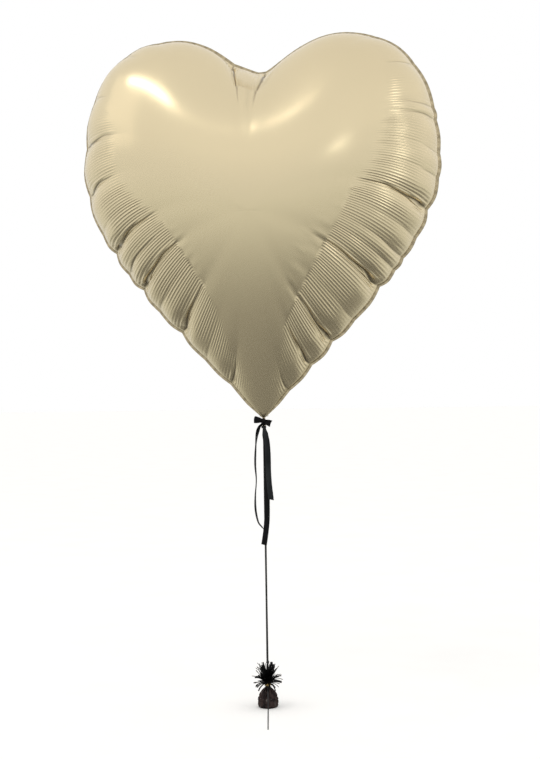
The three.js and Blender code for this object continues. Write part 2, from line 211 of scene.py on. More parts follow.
def satinRibbon(name, deep, lit, sheen):
    material, tree, shader = nodesOf(name)
    shader.inputs["Sheen Weight"].default_value = sheen
    shader.inputs["Sheen Roughness"].default_value = 0.35
    shader.inputs["Anisotropic"].default_value = 0.6
    shader.inputs["Specular IOR Level"].default_value = 0.12
    tint = objectNoise(tree, 120.0, 3.0, (1, 1, 0.2))
    colour = ramp(tree, tint.outputs["Fac"], [(0.3, deep), (0.7, lit)])
    tree.links.new(colour.outputs["Color"], shader.inputs["Base Color"])
    rough = ramp(tree, tint.outputs["Fac"], [(0.2, (0.26, 0.26, 0.26)), (0.8, (0.40, 0.40, 0.40))])
    tree.links.new(rough.outputs["Color"], shader.inputs["Roughness"])
    weft = attributeWave(tree, "along", 0.0005)
    first = addNode(tree, "ShaderNodeBump", Strength=0.25, Distance=0.00006)
    tree.links.new(weft.outputs[0], first.inputs["Height"])
    warp = attributeWave(tree, "across", 0.0004)
    bump(tree, shader, warp.outputs[0], 0.3, 0.00005, first)
    return material


def curlingRibbon():
    material, tree, shader = nodesOf("curlingRibbon")
    tint = objectNoise(tree, 80.0, 3.0)
    colour = ramp(tree, tint.outputs["Fac"], [(0.3, (0.006, 0.006, 0.007)), (0.7, (0.014, 0.014, 0.016))])
    tree.links.new(colour.outputs["Color"], shader.inputs["Base Color"])
    rough = ramp(tree, tint.outputs["Fac"], [(0.2, (0.30, 0.30, 0.30)), (0.8, (0.44, 0.44, 0.44))])
    tree.links.new(rough.outputs["Color"], shader.inputs["Roughness"])
    ribs = attributeWave(tree, "across", 0.00055)
    bump(tree, shader, ribs.outputs[0], 0.5, 0.00012)
    return material


def darkFoil(name, shade, glint, roughness):
    material, tree, shader = nodesOf(name)
    shader.inputs["Metallic"].default_value = 0.9
    shader.inputs["Coat Weight"].default_value = 0.08
    shader.inputs["Coat Roughness"].default_value = 0.15
    tint = objectNoise(tree, 90.0, 4.0)
    colour = ramp(tree, tint.outputs["Fac"], [(0.35, shade), (0.70, glint)])
    tree.links.new(colour.outputs["Color"], shader.inputs["Base Color"])
    rough = ramp(tree, tint.outputs["Fac"], [(0.2, (roughness,) * 3), (0.8, (roughness + 0.14,) * 3)])
    tree.links.new(rough.outputs["Color"], shader.inputs["Roughness"])
    crinkle = objectNoise(tree, 380.0, 4.0)
    bump(tree, shader, crinkle.outputs["Fac"], 0.35, 0.0006)
    return material


def goldFoil():
    material, tree, shader = nodesOf("goldTie")
    shader.inputs["Metallic"].default_value = 1.0
    tint = objectNoise(tree, 300.0, 3.0)
    colour = ramp(tree, tint.outputs["Fac"], [(0.3, (0.62, 0.38, 0.10)), (0.7, (0.95, 0.74, 0.36))])
    tree.links.new(colour.outputs["Color"], shader.inputs["Base Color"])
    rough = ramp(tree, tint.outputs["Fac"], [(0.2, (0.16, 0.16, 0.16)), (0.8, (0.30, 0.30, 0.30))])
    tree.links.new(rough.outputs["Color"], shader.inputs["Roughness"])
    crinkle = objectNoise(tree, 700.0, 3.0)
    bump(tree, shader, crinkle.outputs["Fac"], 0.4, 0.0005)
    return material


def clearFilm():
    material, tree, shader = nodesOf("clearFilm")
    shader.inputs["Transmission Weight"].default_value = 0.85
    shader.inputs["IOR"].default_value = 1.5
    tint = objectNoise(tree, 40.0, 2.0)
    colour = ramp(tree, tint.outputs["Fac"], [(0.3, (0.86, 0.85, 0.81)), (0.7, (0.93, 0.92, 0.88))])
    tree.links.new(colour.outputs["Color"], shader.inputs["Base Color"])
    rough = ramp(tree, tint.outputs["Fac"], [(0.2, (0.10, 0.10, 0.10)), (0.8, (0.22, 0.22, 0.22))])
    tree.links.new(rough.outputs["Color"], shader.inputs["Roughness"])
    return material


def castIron():
    material, tree, shader = nodesOf("castIron")
    shader.inputs["Metallic"].default_value = 0.85
    tint = objectNoise(tree, 160.0, 6.0)
    colour = ramp(tree, tint.outputs["Fac"], [(0.35, (0.13, 0.12, 0.115)), (0.75, (0.26, 0.24, 0.22))])
    tree.links.new(colour.outputs["Color"], shader.inputs["Base Color"])
    rough = ramp(tree, tint.outputs["Fac"], [(0.2, (0.5, 0.5, 0.5)), (0.8, (0.8, 0.8, 0.8))])
    tree.links.new(rough.outputs["Color"], shader.inputs["Roughness"])
    bump(tree, shader, tint.outputs["Fac"], 0.5, 0.0006)
    return material


filmMaterial = balloonFilm()
satinMaterial = satinRibbon("blackSatin", (0.0015, 0.0015, 0.002), (0.005, 0.005, 0.006), 0.02)
# painted light: a lighter copy of the black satin with more sheen, for the short tail in front
satinPaintedLighter = satinRibbon("paintedLightSatin", (0.006, 0.007, 0.008), (0.018, 0.020, 0.022), 0.10)
curlingMaterial = curlingRibbon()
wrapFoil = darkFoil("blackFoil", (0.010, 0.007, 0.008), (0.060, 0.038, 0.034), 0.20)
fringeFoil = darkFoil("fringeFoil", (0.004, 0.004, 0.0045), (0.016, 0.015, 0.017), 0.26)
goldMaterial = goldFoil()
clearMaterial = clearFilm()
ironMaterial = castIron()
print("materials ready")


seamReach = 0.006
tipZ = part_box("front_panel")[0].z
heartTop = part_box("front_panel")[1].z - seamReach
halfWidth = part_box("front_panel")[1].x - seamReach

heart = {
    "widest": 545 / 821,        # shares of the height above the tip
    "notch": 745 / 821,
    "lobeTop": 184 / 385,       # share of the half width
    "domeScale": 0.205,
    "tipOpening": 0.5,
    "seamGap": 0.00055,
    "centre": 0.79 * 545 / 821,
    "wrinkle": 0.0066,          # from one fine wrinkle to the next, at the rim
    "splits": 7,                # cuts between two wrinkles
    "domeRows": 42,
    "seamRows": 3,
    "fineFrom": 0.36,           # reach where the fine columns start
}

# where the rim is pinched, from the tip: x, z, inward pinch, fold depth, fold length in metres
rimFolds = [
    (0.057, 0.062, 0.0035, 0.0030, 0.045),
    (0.107, 0.115, 0.0055, 0.0060, 0.095),
    (0.152, 0.164, 0.0080, 0.0075, 0.150),
    (0.202, 0.208, 0.0025, 0.0010, 0.030),
    (0.253, 0.281, 0.0085, 0.0085, 0.175),
    (0.288, 0.313, 0.0030, 0.0015, 0.035),
    (0.310, 0.336, 0.0035, 0.0028, 0.055),
    (0.334, 0.381, 0.0028, 0.0014, 0.030),
    (0.357, 0.441, 0.0080, 0.0075, 0.140),
    (0.377, 0.508, 0.0030, 0.0020, 0.035),
    (0.385, 0.559, 0.0028, 0.0016, 0.030),
    (0.380, 0.630, 0.0030, 0.0022, 0.090),
    (0.376, 0.655, 0.0022, 0.0020, 0.085),
    (0.342, 0.755, 0.0026, 0.0018, 0.055),
    (0.255, 0.817, 0.0020, 0.0012, 0.022),
    (0.018, 0.747, 0.0050, 0.0080, 0.095),
    (-0.055, 0.763, 0.0045, 0.0080, 0.110),
    (-0.217, 0.815, 0.0020, 0.0012, 0.024),
    (-0.285, 0.786, 0.0022, 0.0018, 0.040),
    (-0.360, 0.697, 0.0024, 0.0018, 0.045),
    (-0.377, 0.596, 0.0050, 0.0060, 0.090),
    (-0.374, 0.492, 0.0060, 0.0070, 0.085),
    (-0.340, 0.410, 0.0020, 0.0012, 0.030),
    (-0.316, 0.368, 0.0075, 0.0080, 0.140),
    (-0.284, 0.325, 0.0030, 0.0035, 0.110),
    (-0.262, 0.283, 0.0080, 0.0082, 0.160),
    (-0.230, 0.232, 0.0020, 0.0018, 0.100),
    (-0.178, 0.187, 0.0075, 0.0075, 0.130),
    (-0.125, 0.130, 0.0020, 0.0010, 0.030),
    (-0.068, 0.078, 0.0045, 0.0045, 0.055),
]

# how far in the fine wrinkles run, and how strong they are there: x, z, length, strength
wrinkleBands = [
    (0.000, 0.000, 0.030, 0.3), (0.057, 0.062, 0.060, 0.6), (0.107, 0.115, 0.105, 1.0),
    (0.152, 0.164, 0.150, 1.0), (0.202, 0.208, 0.165, 1.1), (0.253, 0.281, 0.175, 0.9),
    (0.310, 0.336, 0.165, 0.6), (0.357, 0.441, 0.140, 0.8), (0.384, 0.545, 0.120, 1.0),
    (0.379, 0.640, 0.095, 0.8), (0.342, 0.755, 0.060, 0.35), (0.255, 0.817, 0.030, 0.12),
    (0.110, 0.801, 0.030, 0.10), (0.024, 0.749, 0.090, 1.2), (-0.020, 0.748, 0.110, 1.6),
    (-0.060, 0.766, 0.090, 1.2), (-0.100, 0.797, 0.035, 0.12), (-0.217, 0.815, 0.030, 0.12),
    (-0.285, 0.786, 0.040, 0.3), (-0.360, 0.697, 0.060, 0.45), (-0.377, 0.596, 0.085, 0.9),
    (-0.374, 0.492, 0.100, 1.0), (-0.316, 0.368, 0.135, 1.0), (-0.262, 0.283, 0.155, 1.0),
    (-0.178, 0.187, 0.130, 0.9), (-0.068, 0.078, 0.060, 0.6),
]


def bezierPoints(a, b, c, d, count):
    t = np.linspace(0, 1, count, endpoint=False)[:, None]
    a, b, c, d = (np.array(p, float) for p in (a, b, c, d))
    return (1 - t)**3 * a + 3 * (1 - t)**2 * t * b + 3 * (1 - t) * t**2 * c + t**3 * d


def heartOutline(count):
    high = heartTop - tipZ
    wide = halfWidth
    widest = heart["widest"] * high
    notch = heart["notch"] * high
    lobe = heart["lobeTop"] * wide
    flank = bezierPoints((0, 0), (0.39 * wide, 0.312 * widest), (wide, 0.66 * widest), (wide, widest), 400)
    shoulder = bezierPoints((wide, widest), (wide, widest + 0.67 * (high - widest)),
                            (lobe + 0.637 * (wide - lobe), high), (lobe, high), 300)
    crown = bezierPoints((lobe, high), (0.543 * lobe, high), (0.245 * lobe, notch + 0.005), (0, notch), 200)
    half = np.vstack([flank, shoulder, crown, [[0, notch]]])
    whole = np.vstack([half, (half * [-1, 1])[::-1][1:-1], half[:1]])
    run = np.concatenate([[0], np.cumsum(np.linalg.norm(np.diff(whole, axis=0), axis=1))])
    at = np.linspace(0, run[-1], count, endpoint=False)
    return np.stack([np.interp(at, run, whole[:, k]) for k in range(2)], 1), run[-1]


outline, perimeter = heartOutline(480)
outlineLoop = np.vstack([outline, outline[:1]])
outlineShare = np.linspace(0, 1, len(outlineLoop))


def rimAt(share):
    share = np.mod(share, 1)
    return np.stack([np.interp(share, outlineShare, outlineLoop[:, k]) for k in range(2)], -1)


def rimOutward(share):
    along = rimAt(share + 0.003) - rimAt(share - 0.003)
    out = np.stack([along[:, 1], -along[:, 0]], 1)
    return out / np.linalg.norm(out, axis=1, keepdims=True)


def shareOf(x, z):
    fine = np.linspace(0, 1, 4000, endpoint=False)
    return fine[np.argmin(np.hypot(*(rimAt(fine) - [x, z]).T))]


def softDistance(flat):
    # equals the distance to the rim close to it, and rounds off over the middle
    start, end = outlineLoop[:-1], outlineLoop[1:]
    length = np.linalg.norm(end - start, axis=1)
    along = (end - start) / length[:, None]
    result = np.empty(len(flat))
    for low in range(0, len(flat), 4000):
        part = flat[low:low + 4000, None, :] - start[None]
        run = (part * along).sum(2)
        off = part[..., 0] * along[:, 1] - part[..., 1] * along[:, 0]
        square = np.maximum(off * off, 1e-12)
        rest = length - run
        total = (rest / np.sqrt(square + rest * rest) + run / np.sqrt(square + run * run)) / square
        result[low:low + 4000] = np.sqrt(2 / np.maximum(total.sum(1), 1e-9))
    return result


def domeHeight(flat):
    scale = heart["domeScale"]
    local = scale * np.tanh(heart["tipOpening"] * np.hypot(flat[:, 0], flat[:, 1]) / scale)
    return np.sqrt(softDistance(flat) * local)


def flatPoint(share, reach):
    # film lines leave the rim towards a point high on the middle line, then turn to the centre
    rim = rimAt(share)
    high = heartTop - tipZ
    aimZ = 0.72 * np.tanh(2.7 * rim[:, 1] / 0.72)
    aim = np.stack([np.zeros(len(rim)), aimZ], 1)
    middle = rim + 0.5 * (aim - rim)
    centre = np.array([0, heart["centre"] * high])
    inward = ((1 - np.minimum(reach, 1)) ** 2)[:, None]
    return rim * (1 - inward)**2 + 2 * inward * (1 - inward) * middle + inward**2 * centre


foldShare = np.array([shareOf(x, z) for x, z, *_ in rimFolds])
foldOrder = np.argsort(foldShare)
folds = np.array(rimFolds)[foldOrder]
foldShare = foldShare[foldOrder]
bandShare = np.array([shareOf(x, z) for x, z, *_ in wrinkleBands])
bandOrder = np.argsort(bandShare)
bands = np.array(wrinkleBands)[bandOrder]
bandShare = bandShare[bandOrder]


def aroundInterp(share, values):
    threeTurns = np.concatenate([bandShare - 1, bandShare, bandShare + 1])
    return np.interp(np.mod(share, 1), threeTurns, np.tile(values, 3))


def foldCusp(share):
    # each fold's pinch at the fold, falling to 0 half way to the next fold or 75 mm away
    pinch = np.zeros(len(share))
    for k, (x, z, inward, depth, length) in enumerate(folds):
        gapBefore = np.mod(foldShare[k] - foldShare[k - 1], 1)
        gapAfter = np.mod(foldShare[(k + 1) % len(folds)] - foldShare[k], 1)
        away = np.mod(share - foldShare[k] + 0.5, 1) - 0.5
        reach = np.where(away < 0, gapBefore, gapAfter) / 2
        reach = np.minimum(reach, 0.075 / perimeter)
        pinch = np.maximum(pinch, inward * np.clip(1 - np.abs(away) / reach, 0, 1)**1.7)
    return pinch


columns = round(perimeter / heart["wrinkle"])


def wrinkleHeight(share, reach, inset, side):
    # fine parallel wrinkles across the band, with painted shade in their valleys and along each fold
    spread = np.linalg.norm(flatPoint(share + 1e-4, reach) - flatPoint(share - 1e-4, reach), axis=1)
    spread = spread / (2e-4 * perimeter)
    wander = 0.9 * np.sin(2 * math.pi * 23 * share + side) + 0.6 * np.sin(2 * math.pi * 61 * share)
    phase = 2 * math.pi * columns * share + wander
    ridge = np.cos(phase) + 0.22 * np.cos(2 * phase)
    limit = aroundInterp(share, bands[:, 2]) * (1 + 0.05 * np.sin(2 * math.pi * 90 * share + side))
    strength = aroundInterp(share, bands[:, 3])
    patch = 0.72 + 0.28 * np.sin(2 * math.pi * 31 * share + 1.3 * side) * np.sin(2 * math.pi * 17 * share + 2)
    rise = smoothStep(0.016, 0.050, inset)
    fall = 1 - smoothStep(limit - 0.010, limit + 0.004, inset)
    total = 0.00058 * strength * patch * ridge * rise * fall * np.minimum(1, 0.35 + spread)
    # painted shade in the valleys of the fine wrinkles
    paintedShade = 0.13 * np.minimum(strength, 1.2) * patch * (0.5 - 0.5 * np.cos(phase)) * rise * fall
    for k, (x, z, inward, depth, length) in enumerate(folds):
        depth = depth * (1 if side > 0 else 0.75 + 0.25 * math.sin(5.1 * k))
        away = (np.mod(share - foldShare[k] + 0.5, 1) - 0.5) * perimeter * np.maximum(spread, 0.2)
        wiggle = 0.0012 * np.sin(2 * math.pi * inset / 0.075 + 2 * k)
        up = (away + wiggle) * (1 if foldShare[k] < 0.5 else -1)
        near = np.abs(away) < 0.08
        if not near.any():
            continue
        fade = smoothStep(-0.01, 0.010, inset) * np.clip(1 - inset / length, 0, 1)**0.55
        shallow = np.exp(np.minimum(up, 0) / 0.008)
        steep = np.exp(-np.maximum(up, 0) / 0.0013)
        groove = np.where(up < 0, shallow, steep)
        lip = np.exp(-((up - 0.0042) / 0.0034)**2)
        valley = np.exp(-(up / 0.020)**2) * np.exp(-inset / (0.6 * length))
        total = total + fade * depth * (0.26 * lip - 0.50 * groove) - 0.50 * depth * valley
        # painted shade along the bottom of each fold's groove
        paintedShade = np.maximum(paintedShade, min(1, depth / 0.0045) * fade * np.exp(-(up / 0.0013)**2))
        # short puckers beside the fold, at the seam
        pucker = np.cos(2 * math.pi * away / 0.0075) * np.exp(-(away / 0.024)**2)
        total = total + 0.11 * depth * pucker * (1 - smoothStep(0.012, 0.045, inset))
    return total, paintedShade


def heartPanel(name, side):
    bm = bmesh.new()
    rows = heart["domeRows"] + heart["seamRows"]
    bmesh.ops.create_grid(bm, x_segments=columns, y_segments=rows, size=1)
    lowFine = 2 * heart["fineFrom"] * heart["domeRows"] / rows - 1
    busy, calm = [], []
    for edge in bm.edges:
        first, second = edge.verts
        if abs(first.co.y - second.co.y) < 1e-6 and first.co.y > lowFine:
            here = (first.co.x + second.co.x + 2) / 4
            strong = aroundInterp(here, bands[:, 3]) > 0.25 or np.abs(foldShare - here).min() < 0.008
            (busy if strong else calm).append(edge)
    bmesh.ops.subdivide_edges(bm, edges=busy, cuts=heart["splits"])
    bmesh.ops.subdivide_edges(bm, edges=calm, cuts=2)
    flatCoords = readVerts(bm)
    share = (flatCoords[:, 0] + 1) / 2
    row = (flatCoords[:, 1] + 1) / 2 * rows
    reach = np.minimum(row / heart["domeRows"], 1)
    seam = np.clip((row - heart["domeRows"]) / heart["seamRows"], 0, 1)
    flat = flatPoint(share, reach)
    height = np.where(reach < 0.99999, domeHeight(flat), 0)
    rim = rimAt(share)
    inset = np.linalg.norm(flat - rim, axis=1)
    out = rimOutward(share)
    cusp = foldCusp(share)
    taper = np.minimum(1, np.hypot(rim[:, 0], rim[:, 1]) / 0.048)
    flat = flat - out * (cusp * np.exp(-inset / 0.05) * taper)[:, None]
    flat = flat + out * (seam * seamReach * 0.92 * taper)[:, None]
    ripple = 0.0004 * np.sin(2 * math.pi * 131 * share) + 0.0005 * np.sin(2 * math.pi * 47 * share + 1)
    offset = heart["seamGap"] * (1 - 0.6 * seam)
    coords = np.stack([flat[:, 0], -side * (height + offset), tipZ + flat[:, 1]], 1)
    coords[:, 1] += ripple * seam * taper
    moveVerts(bm, coords)
    shareLayer = bm.verts.layers.float.new("share")
    reachLayer = bm.verts.layers.float.new("reach")
    insetLayer = bm.verts.layers.float.new("inset")
    for vert, s, r, d in zip(bm.verts, share, row / heart["domeRows"], inset):
        vert[shareLayer] = s
        vert[reachLayer] = r
        vert[insetLayer] = d
    bmesh.ops.remove_doubles(bm, verts=bm.verts, dist=2e-6)
    if side > 0:
        bmesh.ops.reverse_faces(bm, faces=bm.faces)
    bm.normal_update()
    share = np.array([v[shareLayer] for v in bm.verts])
    reach = np.array([v[reachLayer] for v in bm.verts])
    inset = np.array([v[insetLayer] for v in bm.verts])
    normals = np.array([v.normal for v in bm.verts])
    lift, paintedShade = wrinkleHeight(share, np.minimum(reach, 1), inset, side)
    rimFade = smoothStep(0.0, 0.006, inset)
    tipFade = smoothStep(0.004, 0.05, np.hypot(*(readVerts(bm)[:, [0, 2]] - [0, tipZ]).T))
    coords = readVerts(bm) + normals * (lift * rimFade * tipFade)[:, None]
    pillow = foldCusp(share) * np.exp(-((inset - 0.02) / 0.06)**2) * rimFade * tipFade
    coords = coords - normals * (0.6 * pillow)[:, None]
    coords[:, 1] = np.where(side * coords[:, 1] > -0.0002, -side * 0.0002, coords[:, 1])
    moveVerts(bm, coords)
    # painted shade kept on the film for its colour: the wrinkle and fold shade, and a dark line along the
    # seam
    paintedShadeLayer = bm.verts.layers.float.new("fold")
    crimp = 0.5 + 0.5 * np.sin(2 * math.pi * 140 * share) * np.sin(2 * math.pi * 53 * share)
    # painted shade: a dark line along the seam, scalloped by the crimp
    seamShade = smoothStep(0.985, 1.0, reach) * (0.35 + 0.3 * crimp)
    for vert, value in zip(bm.verts, np.maximum(paintedShade * 0.9, seamShade)):
        vert[paintedShadeLayer] = value
    bmesh.ops.triangulate(bm, faces=[f for f in bm.faces if len(f.verts) > 4])
    print(name, len(bm.verts), "verts", len(bm.faces), "faces")
    panel = newPiece(name, bm, filmMaterial)
    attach(panel, "heart")
    return panel


frontFilm = heartPanel("front_film", 1)
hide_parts("front_panel")
rearFilm = heartPanel("rear_film", -1)
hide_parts("rear_panel")
print("heart made")


def ribbonStrip(name, points, material, widthAt, facingAt, thickness, along=60, across=6, curl=0.0):
    bm = bmesh.new()
    bmesh.ops.create_grid(bm, x_segments=across, y_segments=along, size=1)
    grid = readVerts(bm)
    side, t = grid[:, 0], (grid[:, 1] + 1) / 2
    centre, length = curveAt(points, t)
    ahead = curveAt(points, np.minimum(t + 0.01, 1))[0] - curveAt(points, np.maximum(t - 0.01, 0))[0]
    ahead /= np.linalg.norm(ahead, axis=1, keepdims=True)
    face = np.array([facingAt(v) for v in t])
    face -= ahead * (face * ahead).sum(1, keepdims=True)
    face /= np.linalg.norm(face, axis=1, keepdims=True)
    out = np.cross(face, ahead)
    width = np.array([widthAt(v) for v in t])
    coords = centre + face * (side * width / 2)[:, None] + out * (curl * width * (side**2 - 0.4))[:, None]
    moveVerts(bm, coords)
    alongLayer = bm.verts.layers.float.new("along")
    acrossLayer = bm.verts.layers.float.new("across")
    for vert, v, u, w in zip(bm.verts, t, side, width):
        vert[alongLayer] = v * length
        vert[acrossLayer] = u * w / 2
    bmesh.ops.solidify(bm, geom=bm.faces, thickness=thickness)
    bmesh.ops.recalc_face_normals(bm, faces=bm.faces)
    return newPiece(name, bm, material), length


def facing(degrees):
    angle = math.radians(degrees)
    return np.array((math.cos(angle), math.sin(angle), 0.0))


tetherSize = {"width": 0.0046, "thickness": 0.0006, "spareWidth": 0.0024}
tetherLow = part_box("tether")[0].z
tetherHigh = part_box("tether")[1].z
tetherPath = [(0, 0, tetherLow + (tetherHigh - tetherLow) * k / 14) for k in range(15)]
tether, tetherLength = ribbonStrip(
    "tether_ribbon", tetherPath, curlingMaterial, lambda t: tetherSize["width"],
    lambda t: facing(10 + 24 * math.sin(5 * t)), tetherSize["thickness"], along=260, across=10, curl=0.03)
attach(tether, "tether")
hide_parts("tether")

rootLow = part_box("tether_root")[0].z
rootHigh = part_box("tether_root")[1].z
rootPath = [(0, 0, rootLow + (rootHigh - rootLow) * k / 14) for k in range(15)]
root, rootLength = ribbonStrip(
    "tether_foot", rootPath, curlingMaterial, lambda t: tetherSize["width"],
    lambda t: facing(40 - 30 * t), tetherSize["thickness"], along=30, across=10, curl=0.03)
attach(root, "weight")
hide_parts("tether_root")

floorLevel = 0.00035
sparePath = [
    (0, -0.0088, 0.047), (0, -0.0106, 0.0436), (0, -0.0144, 0.0394), (0, -0.0196, 0.0326),
    (0, -0.0226, 0.024), (0, -0.0243, 0.014), (0, -0.025, 0.006), (0, -0.0266, 0.0016),
    (0, -0.03, floorLevel), (0, -0.05, floorLevel), (0, -0.08, floorLevel), (0, -0.11, floorLevel),
    (0, -0.14, floorLevel), (0, -0.17, floorLevel), (0, -0.196, floorLevel),
]
spareTurn = math.radians(8)
sparePath = [(-y * math.sin(spareTurn), y * math.cos(spareTurn), z) for x, y, z in sparePath]
spare, spareLength = ribbonStrip(
    "tether_spare_end", sparePath, curlingMaterial, lambda t: tetherSize["spareWidth"],
    lambda t: facing(8), tetherSize["thickness"], along=120, across=6)
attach(spare, "weight")
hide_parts("tether_tail")
print("cords laid")


satin = {"width": 0.012, "thickness": 0.00032, "curl": 0.10, "cutFrom": 0.97}
satinTails = {
    "short_tail": {
        "path": [(0.0024, -0.0128, 0.6070), (0.005, -0.0134, 0.590), (0.0085, -0.014, 0.572),
                 (0.010, -0.0136, 0.545), (0.0104, -0.0132, 0.510), (0.012, -0.0136, 0.480),
                 (0.0155, -0.015, 0.449)],
        "facing": lambda t: facing(4 - 10 * t + 10 * math.sin(7 * t)),
        "width": lambda t: satin["width"] * min(1, 0.30 + 7 * t),
        # painted light: this tail takes the lighter copy of the black satin
        "material": satinPaintedLighter, "along": 90, "slant": 0.004,
    },
    "long_tail": {
        "path": [(0.0005, -0.0076, 0.6085), (0.003, -0.0068, 0.590), (0.0055, -0.0064, 0.565),
                 (0.006, -0.0062, 0.530), (0.006, -0.0064, 0.490), (0.0054, -0.0066, 0.440),
                 (0.0046, -0.0064, 0.405), (0.0015, -0.0066, 0.376), (-0.0025, -0.007, 0.351)],
        "facing": lambda t: facing(-6 + 8 * t + 8 * math.sin(9 * t)),
        "width": lambda t: satin["width"] * min(1, 0.30 + 9 * t),
        "material": satinMaterial, "along": 140, "slant": 0.001,
    },
    "side_strand": {
        "path": [(-0.0025, -0.0106, 0.6110), (-0.0080, -0.0092, 0.6055), (-0.0118, -0.006, 0.5965),
                 (-0.015, -0.003, 0.583), (-0.018, 0.001, 0.560), (-0.020, 0.004, 0.525),
                 (-0.0185, 0.006, 0.490), (-0.0215, 0.008, 0.455), (-0.0215, 0.0095, 0.425),
                 (-0.0165, 0.011, 0.399), (-0.009, 0.012, 0.388), (-0.003, 0.0125, 0.380)],
        "facing": lambda t: facing(14 + 66 * min(1, 5 * t)**0.8 + 6 * math.sin(14 * t)),
        "width": lambda t: satin["width"] * 0.9 * min(1, 0.45 + 7 * t),
        "material": satinMaterial, "along": 150, "slant": 0.003,
    },
}


def satinTail(name, look):
    piece, length = ribbonStrip(name + "_ribbon", look["path"], look["material"], look["width"],
                                look["facing"], satin["thickness"], along=look["along"], across=12,
                                curl=satin["curl"])
    along = piece.data.attributes["along"].data
    across = piece.data.attributes["across"].data
    for vert in piece.data.vertices:      # the end is cut on a slant
        if along[vert.index].value / length > satin["cutFrom"]:
            vert.co.z -= look["slant"] * across[vert.index].value / satin["width"]
    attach(piece, name)
    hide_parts(name)


for name, look in satinTails.items():
    satinTail(name, look)


def wobble(co, scale, amount):
    return amount * noise.noise(Vector(co) * scale)


bow = {
    "leftLength": 0.0185, "leftWidth": 0.0150, "leftRise": 8,       # degrees above level
    "rightLength": 0.0150, "rightWidth": 0.0140, "rightRise": -22,
    "loopDepth": 0.0030,
}
knotLow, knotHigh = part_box("bow_knot")
bowRaise = 0.0056           # the bow is pushed up against the heart's tip
knotCentre = (knotLow + knotHigh) / 2 + Vector((0, 0, bowRaise))


def bowLoop(name, node, length, width, rise, sideways):
    # the band leaves the knot in front, turns at the loop's end and comes back behind
    angle = math.radians(rise)
    out = np.array((sideways * math.cos(angle), 0, math.sin(angle)))
    up = np.array((-sideways * math.sin(angle), 0, math.cos(angle)))
    start = np.array(knotCentre) + out * 0.0022
    path = []
    for k in range(13):
        turn = math.pi * k / 12
        reach = length * math.sin(turn)**0.8
        depth = -math.cos(turn) * bow["loopDepth"] * (0.35 + 0.65 * math.sin(turn))
        path.append(tuple(start + out * reach + np.array((0, depth, 0))))
    piece, bandLength = ribbonStrip(
        name, path, satinMaterial, lambda t: width * (0.42 + 0.58 * math.sin(math.pi * t)**0.8),
        lambda t: up, satin["thickness"], along=70, across=14, curl=-0.09)
    for vert in piece.data.vertices:
        away = (vert.co - knotCentre).length
        vert.co.y += wobble(vert.co, 260, 0.0009) * min(1, away / 0.006)
        pleat = math.sin(900 * (vert.co.z - knotCentre.z) + 500 * vert.co.x)
        vert.co.y += 0.0004 * pleat * max(0, 1 - away / 0.012)
    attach(piece, "bow")
    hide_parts(node)


def bowKnot():
    bm = bmesh.new()
    bmesh.ops.create_icosphere(bm, subdivisions=4, radius=1)
    half = (knotHigh - knotLow) / 2
    for vert in bm.verts:
        x, y, z = vert.co
        crease = 0.07 * math.sin(9 * x + 2.5 * z) * (1 - abs(z))
        waist = 1.12 - 0.14 * (1 - z * z)
        grow = waist + crease + 0.08 * noise.noise(vert.co * 2.2)
        vert.co = Vector((x * half.x * 1.12 * grow, y * half.y * grow, z * half.z * 0.95)) + knotCentre
    bmesh.ops.smooth_vert(bm, verts=bm.verts, factor=0.3, use_axis_x=True, use_axis_y=True, use_axis_z=True)
    piece = newPiece("bow_knot_wrap", bm, satinMaterial)
    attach(piece, "bow")
    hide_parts("bow_knot")


bowKnot()
bowLoop("bow_left", "bow_loop_left", bow["leftLength"], bow["leftWidth"], bow["leftRise"], -1)
bowLoop("bow_right", "bow_loop_right", bow["rightLength"], bow["rightWidth"], bow["rightRise"], 1)


def spunMesh(profile, steps):
    bm = bmesh.new()
    rings = [bm.verts.new((radius, 0, height)) for radius, height in profile]
    for first, second in zip(rings, rings[1:]):
        bm.edges.new((first, second))
    bmesh.ops.spin(bm, geom=list(bm.verts) + list(bm.edges), cent=(0, 0, 0), axis=(0, 0, 1),
                   angle=2 * math.pi, steps=steps, use_merge=True)
    bmesh.ops.remove_doubles(bm, verts=bm.verts, dist=1e-6)
    bmesh.ops.recalc_face_normals(bm, faces=bm.faces)
    return bm


# "room" is the radius left free inside a band, and "cover" is how far the satin one reaches up the neck
band = {"turns": 3, "lean": 0.0003, "rough": 0.015, "trim": 0.0002, "hitchRoom": 0.0039,
        "neckRoom": 0.0047, "cover": 0.0035}


def wrappedBand(name, node, material, inner, cover):
    # a few turns of ribbon lying over each other, each a little askew
    low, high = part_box(node)
    high = high + Vector((0, 0, cover))
    outer = (high.x - low.x) / 2
    height = high.z - low.z
    foot = low.z + band["trim"]
    profile = [(inner, foot)]
    count = band["turns"] * 8
    for k in range(count + 1):
        t = k / count
        bulge = abs(math.sin(math.pi * band["turns"] * t))**0.5
        radius = inner + (outer - inner) * (0.62 + 0.38 * bulge)
        profile.append((radius, foot + (height - 2 * band["trim"]) * t))
    profile.append((inner, high.z - band["trim"]))
    profile.append(profile[0])
    bm = spunMesh(profile, 72)
    for vert in bm.verts:
        angle = math.atan2(vert.co.y, vert.co.x)
        if math.hypot(vert.co.x, vert.co.y) > inner * 1.08:
            grow = 1 + band["rough"] * math.sin(7 * angle + 900 * vert.co.z)
            grow += wobble(vert.co, 400, 2 * band["rough"])
            vert.co.x *= grow
            vert.co.y *= grow
            inside = math.sin(math.pi * (vert.co.z - low.z) / height)
            vert.co.z += band["lean"] * math.sin(angle) * max(0, inside)
    piece = newPiece(name, bm, material)
    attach(piece, "bow" if node == "ribbon_binding" else "tether")
    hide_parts(node)


wrappedBand("satin_binding", "ribbon_binding", satinMaterial, band["neckRoom"], band["cover"])
wrappedBand("ribbon_hitch", "tether_hitch", curlingMaterial, band["hitchRoom"], 0)


gather = {"pleats": 9, "depth": 0.10, "rise": 0.0062}


